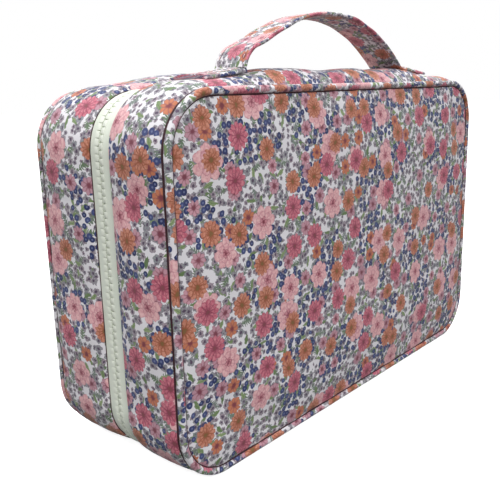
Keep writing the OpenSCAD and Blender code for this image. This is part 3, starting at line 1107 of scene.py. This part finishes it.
def make_strap():
    """The strap with its two sewn tabs. Returns its middle line and that line's normals."""
    path, along = strap_path()
    normals = path_normals(path)
    across, up = strap_section().T
    past_foot = np.abs(path[:, 0] - (LEFT_FOOT + RIGHT_FOOT) / 2) - (RIGHT_FOOT - LEFT_FOOT) / 2
    on_tab = np.clip(past_foot / MM, 0, 1)
    skew = across / (STRAP_W / 2) * STRAP_SKEW * (1 - on_tab[:, None])
    px = path[:, :1] + normals[:, :1] * up + skew
    pz = path[:, 1:] + normals[:, 1:] * up
    grid = np.stack([px, HANDLE_Y + np.broadcast_to(across, px.shape), pz], axis=-1)
    crease = ripple(grid, 11 * MM, 51) * 0.45 * MM
    grid[:, :, 0] += normals[:, :1] * crease
    grid[:, :, 2] += normals[:, 1:] * crease
    crown = top_height(path[:, 0]) - HEIGHT
    grid[:, :, 2] -= droop(grid[:, :, 1]) * on_tab[:, None] * crown[:, None]
    cloth = strip_cloth(along, grid, False, shift=(120, 600))
    piece = add_grid("handle_strap_sewn", grid, cloth, PRINT, capped=True)
    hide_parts("handle_strap", "handle_core", "handle_tab_left", "handle_tab_right")
    blend_handle(piece)
    return path, normals


def droop(ys):
    """How much a tab bends down with the wall's crown at its two edges, as a share of the crown."""
    near, far = BAND, far_gap("front")
    v = np.clip((ZIP_Y - ys - near) / (far - near), 0, 1)
    return np.minimum(1 - crown_shape(v), 0.32)


def blend_handle(piece):
    """Bakes the piece's place into its points."""
    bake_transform(piece)


# A stitch's rings: share of the way along it, share of its radius, and lift in radii
STITCH_RINGS = ((0, 0.35, -0.5), (0.2, 0.9, 0.1), (0.5, 1.0, 0.3), (0.8, 0.9, 0.1), (1, 0.35, -0.5))


def stitch_block(a, b, up):
    """One stitch: a short rounded thread from a to b."""
    direction = (b - a).normalized()
    across = direction.cross(up).normalized()
    rise = across.cross(direction)
    turn = np.arange(6) / 6 * 2 * math.pi
    rows = []
    for t, swell, lift in STITCH_RINGS:
        middle = a.lerp(b, t) + rise * STITCH_R * lift
        ring = [middle + (across * math.cos(k) + rise * math.sin(k)) * STITCH_R * swell for k in turn]
        rows.append([tuple(p) for p in ring])
    return np.array(rows)


def stitch_run(points, ups, pitch):
    """Stitches along a line of points."""
    steps = distances_along(points)
    blocks = []
    for start in np.arange(0.15 * pitch, steps[-1] - 0.8 * pitch, pitch):
        place = [np.interp([start, start + 0.75 * pitch], steps, points[:, k]) for k in range(3)]
        up = Vector([np.interp(start, steps, ups[:, k]) for k in range(3)])
        a, b = (Vector([column[i] for column in place]) for i in (0, 1))
        blocks.append(stitch_block(a, b, up))
    return blocks


def make_strap_stitches(path, normals):
    """Two lines of stitches on each face of the strap."""
    keep = path[:, 1] > top_height(path[:, 0]) + 5 * MM
    blocks = []
    for edge in (-1, 1):
        y = HANDLE_Y + edge * (STRAP_W / 2 - STRAP_STITCH_INSET)
        lean = edge * (1 - STRAP_STITCH_INSET / (STRAP_W / 2)) * STRAP_SKEW
        for face in (1, -1):
            lift = face * 0.95 * MM
            px = path[:, 0] + normals[:, 0] * lift + lean
            pz = path[:, 1] + normals[:, 1] * lift
            line = np.stack([px, np.full(len(path), y), pz], axis=1)[keep]
            ups = np.stack([normals[:, 0], 0 * normals[:, 0], normals[:, 1]], axis=1)[keep] * face
            blocks.extend(stitch_run(line, ups, STRAP_STITCH_PITCH))
    piece = join_blocks("handle_strap_stitches", blocks, STITCH_THREAD, sharp=80)
    blend_handle(piece)


def make_tab_stitches():
    """A stitched box with a cross in it on each tab."""
    count = 24
    ups = np.tile([0.0, 0.0, 1.0], (count, 1))
    blocks = []
    for foot, outwards in ((LEFT_FOOT, -1), (RIGHT_FOOT, 1)):
        xs = foot + outwards * np.linspace(4.0 * MM, TAB_L - TAB_STITCH_INSET, count)
        ys = HANDLE_Y + (STRAP_W / 2 - TAB_STITCH_INSET) * np.linspace(-1, 1, count)
        lines = [
            (xs, np.full(count, ys[0])),
            (np.full(count, xs[-1]), ys),
            (xs[::-1], np.full(count, ys[-1])),
            (np.full(count, xs[0]), ys[::-1]),
            (xs, ys),
            (xs, ys[::-1]),
        ]
        for line_x, line_y in lines:
            rise = top_height(line_x) - HEIGHT
            z = HEIGHT + rise + FOOT_GAP + TAB_STITCH_RISE - droop(line_y) * rise
            line = np.stack([line_x, line_y, z], axis=1)
            blocks.extend(stitch_run(line, ups, TAB_STITCH_PITCH))
    piece = join_blocks("handle_tab_stitches", blocks, STITCH_THREAD, sharp=80)
    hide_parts("handle_stitching")
    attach(piece, "front_half")


# ---- Inside ----

# The lining lies this far inside its CAD sheets
LINING_CLEAR = 0.05 * MM


def lining_rings(half):
    """The lining's outer face before it hangs slack: flat rings, wall rings, and how many are its hem."""
    y = HALVES[half] * (LINING_FACE - LINING_CLEAR)
    flat_depths = np.linspace(LAST_RING * HEIGHT / 2, RINGS_SHRINK_FROM + 4 * MM, 14)
    corner_depths = np.linspace(RINGS_SHRINK_FROM, 5.2 * MM, 10)
    depths = np.concatenate([flat_depths, corner_depths])
    flat = panel_rings(depths, np.full(len(depths), y))
    gaps = np.linspace(far_gap(half) - 1.6 * MM, TAPE_LAP, 20)
    insets = PADDING + LINING_CLEAR - inner_crown(half, gaps)
    hem = np.array([PADDING - 0.1 * MM, 2.7 * MM, 1.95 * MM])
    gaps = np.concatenate([gaps, np.full(len(hem), TAPE_LAP - 0.1 * MM)])
    insets = np.concatenate([insets, np.broadcast_to(hem, (ROUND, len(hem)))], axis=1)
    return flat, wall_grid(half, gaps, insets).transpose(1, 0, 2), len(hem)


def make_lining(half):
    """One tray of lining cloth: the panel's sheet turned into the walls' sheet."""
    side = HALVES[half]
    flat, wall, hem_count = lining_rings(half)
    rings = np.concatenate([flat, wall])
    falling = np.linspace(1, 0, len(wall) - hem_count)
    slack = np.concatenate([np.ones(len(flat)), falling, np.zeros(hem_count)])[:, None]
    wave = (ripple(rings, 30 * MM, 61 + side) * 0.5 + 0.5) * slack * 0.7 * MM
    inward = inward_directions(rings, len(flat), side)
    inward[-hem_count:] = (0, -side, 0)
    outer = rings + inward * wave[:, :, None]
    inner = outer + inward * LINING
    closed = np.concatenate([outer, inner[::-1]])
    face = LINING_FACE - LINING_CLEAR
    ends = [Vector((0, side * y, HEIGHT / 2)) for y in (face, face - LINING)]
    outer_cloth = closed[:len(rings), :, [0, 2]] / MM
    cloth = np.concatenate([outer_cloth, outer_cloth[::-1]]) + closed[:, :, 1:2] / MM
    end_cloth = [np.array([0.0, 90.0])] * 2
    piece = add_disc(f"{half}_lining_tray", closed, cloth, ends, end_cloth, LINING_CLOTH)
    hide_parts(f"{half}_wall_lining", f"{half}_panel_lining")
    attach(piece, f"{half}_half")
    far_gap(half) - TAPE_LAP


def inward_directions(rings, flat_count, side):
    """Which way the lining's thickness goes: away from the panel, then in from the walls."""
    _, _, nx, nz = AROUND.T
    result = np.zeros_like(rings)
    result[:flat_count, :, 1] = -side
    result[flat_count:, :, 0] = -nx
    result[flat_count:, :, 2] = -nz
    corner = slice(flat_count - 2, flat_count + 2)
    result[corner] = np.stack([-nx * 0.7, np.full(len(nx), -side * 0.7), -nz * 0.7], axis=1)
    return result


def make_bindings(half):
    """Bias tape over the seams inside: one by the panel, one by the zipper."""
    far = far_gap(half)
    count = 9
    edge = np.sin(np.linspace(0, math.pi, count)) ** 0.4
    # Where each starts and ends from the zipper's middle line, its inset, and if it follows the crown
    places = {
        "seam_binding": (far - 1.2 * MM, far - 7.2 * MM, PADDING + LINING, True),
        "zip_binding": (TAPE_LAP, BAND, 1.85 * MM, False),
    }
    for kind, (start, end, level, crowned) in places.items():
        gaps = np.linspace(start, end, count)
        pucker = (ripple(wall_grid(half, gaps), 5 * MM, 71 + HALVES[half]) * 0.5 + 0.5) * 0.3 * MM
        under = level - crowned * inner_crown(half, gaps)
        over = under + 0.15 * MM + (0.65 * MM + pucker) * edge
        insets = np.concatenate([over, under[:, ::-1]], axis=1)
        grid = wall_grid(half, np.concatenate([gaps, gaps[::-1]]), insets)
        cloth = strip_cloth(LOOP, grid, True, shift=(0, 500))
        piece = add_grid(f"{half}_{kind}_sewn", grid, cloth, LINING_CLOTH)
        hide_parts(f"{half}_{kind}")
        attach(piece, f"{half}_half")


def make_pocket():
    low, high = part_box("pocket_panel")
    band_low, band_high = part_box("pocket_elastic")
    columns, rows = 120, 46
    xs = np.linspace(low.x, high.x, columns)
    heights = np.linspace(low.z, band_high.z, rows)
    grid = np.zeros((rows, columns, 3))
    grid[:, :, 0] = xs
    grid[:, :, 2] = heights[:, None]
    share = (heights - low.z) / (band_high.z - low.z)
    edge = np.clip(np.minimum(xs - low.x, high.x - xs) / (9 * MM), 0, 1)
    belly = np.sin(np.clip(share, 0, 1) * math.pi * 0.8)[:, None] * smooth(edge)
    gathers = np.sin(xs / (2.6 * MM) + 1.3 * np.sin(xs / (17 * MM)))
    gathers = gathers * smooth((share - 0.25) / 0.7)[:, None] * edge
    grid[:, :, 1] = low.y - 2.2 * MM * belly - 0.75 * MM * gathers
    back = grid.copy()
    back[:, :, 1] += LINING
    closed = np.concatenate([grid, back[::-1]])
    cloth = np.concatenate([closed[:, :, [0, 2]], closed[:1, :, [0, 2]]]) / MM
    piece = add_grid("pocket_gathered", closed, cloth, LINING_CLOTH, wrap_columns=False, sharp=70)
    # The pocket's two ends are open until here
    close_sides(piece)
    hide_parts("pocket_panel")
    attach(piece, "back_half")
    elastic = make_elastic(xs, band_low, band_high, grid)


def close_sides(piece):
    """Fills the open ends of a thin closed sheet."""
    made = bmesh.new()
    made.from_mesh(piece.data)
    borders = [edge for edge in made.edges if edge.is_boundary]
    bmesh.ops.holes_fill(made, edges=borders, sides=0)
    bmesh.ops.recalc_face_normals(made, faces=made.faces)
    made.to_mesh(piece.data)
    made.free()


def make_elastic(xs, low, high, pocket):
    """Ribbed elastic along the pocket's mouth, following its gathers."""
    top = pocket[-1, :, 1]
    turn = np.arange(14) / 14 * 2 * math.pi
    half_t = 1.0 * MM
    half_h = (high.z - low.z) / 2
    middle_z = (high.z + low.z) / 2
    ribs = 1 + 0.12 * np.sin(xs / (0.9 * MM))
    ys = top[:, None] + LINING / 2 + half_t * np.sin(turn) * ribs[:, None]
    bulge = np.sign(np.cos(turn)) * np.abs(np.cos(turn)) ** 0.5
    zs = middle_z + half_h * np.broadcast_to(bulge, ys.shape)
    grid = np.stack([np.broadcast_to(xs[:, None], ys.shape), ys, zs], axis=-1)
    cloth = strip_cloth(xs, grid, False)
    piece = add_grid("pocket_elastic_ribbed", grid, cloth, TAPE, capped=True)
    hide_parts("pocket_elastic")
    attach(piece, "back_half")
    return piece


# ---- Stage, lights and camera ----

def make_stage():
    """A white floor and backdrop that only the camera sees."""
    bpy.ops.mesh.primitive_circle_add(vertices=96, radius=6, fill_type="NGON", location=(0, 0, -0.3 * MM))
    floor = bpy.context.object
    floor.name = "stage_floor"
    floor.data.materials.append(floor_material())
    bpy.ops.mesh.primitive_uv_sphere_add(segments=48, ring_count=24, radius=7, location=(0, 0, 0))
    dome = bpy.context.object
    dome.name = "stage_backdrop"
    dome.data.materials.append(backdrop_material())
    for ray in ("diffuse", "glossy", "transmission", "volume_scatter", "shadow"):
        setattr(dome, f"visible_{ray}", False)
        setattr(floor, f"visible_{ray}", False)


def add_light(name, place, aim, size, power):
    """A round soft light of that size in metres and power in watts."""
    data = bpy.data.lights.new(name, "AREA")
    data.shape = "DISK"
    data.size = size
    data.energy = power
    light = bpy.data.objects.new(name, data)
    bpy.context.scene.collection.objects.link(light)
    light.location = place
    light.rotation_mode = "QUATERNION"
    light.rotation_quaternion = (Vector(aim) - Vector(place)).to_track_quat("-Z", "Y")


def make_world():
    """Light from all round, brightest from above."""
    world = bpy.data.worlds.new("studio")
    world.use_nodes = True
    bpy.context.scene.world = world
    g = Graph(world.node_tree)
    background = world.node_tree.nodes["Background"]
    height = g.split(g.out(g.node("ShaderNodeTexCoord"), "Generated"))[2]
    strength = g.ramp(height, -0.08, 0.62) * 1.34 + 0.09
    g.fill(background, {"Strength": strength, "Color": (0.98, 0.99, 1.0, 1.0)})


def make_lights():
    make_world()
    middle = (0, 0, HEIGHT / 2)
    add_light("key", (-0.45, 0.0, 1.5), middle, size=0.9, power=9)
    add_light("front_left", (-0.5, -1.0, 0.2), middle, size=0.6, power=2.8)


def make_camera():
    """The camera orbits its target by azimuth and elevation, and rolls a little."""
    azimuth, elevation, roll = (math.radians(a) for a in (-48.08, 13.62, -1.59))
    target = Vector((-37.4 * MM, 2.1 * MM, 87.1 * MM))
    distance = 0.3904
    back = Vector((
        math.sin(azimuth) * math.cos(elevation),
        -math.cos(azimuth) * math.cos(elevation),
        math.sin(elevation),
    ))
    right = Vector((math.cos(azimuth), math.sin(azimuth), 0))
    up = back.cross(right)
    turned_right = right * math.cos(roll) + up * math.sin(roll)
    turned_up = up * math.cos(roll) - right * math.sin(roll)
    data = bpy.data.cameras.new("camera")
    data.lens = 48.24
    data.sensor_width = 36
    data.clip_start = 0.01
    camera = bpy.data.objects.new("camera", data)
    bpy.context.scene.collection.objects.link(camera)
    axes = Matrix((turned_right, turned_up, back)).transposed().to_4x4()
    camera.matrix_world = Matrix.Translation(target + back * distance) @ axes
    bpy.context.scene.camera = camera


def paint_carried_nodes():
    """The CAD pieces that stay as they are get their finished materials."""
    for name in ("slider_left", "slider_right", "pull_left", "pull_right"):
        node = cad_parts[name]
        node.data.materials.clear()
        node.data.materials.append(PLASTIC[0])


make_camera()
make_stage()
make_lights()
for half in HALVES:
    for make in (make_wall, make_panel, make_piping, make_tape, make_teeth, make_lining, make_bindings):
        make(half)
make_hinge()
strap_line, strap_normals = make_strap()
make_strap_stitches(strap_line, strap_normals)
make_tab_stitches()
make_pocket()
paint_carried_nodes()
bpy.context.scene.view_settings.view_transform = "Standard"
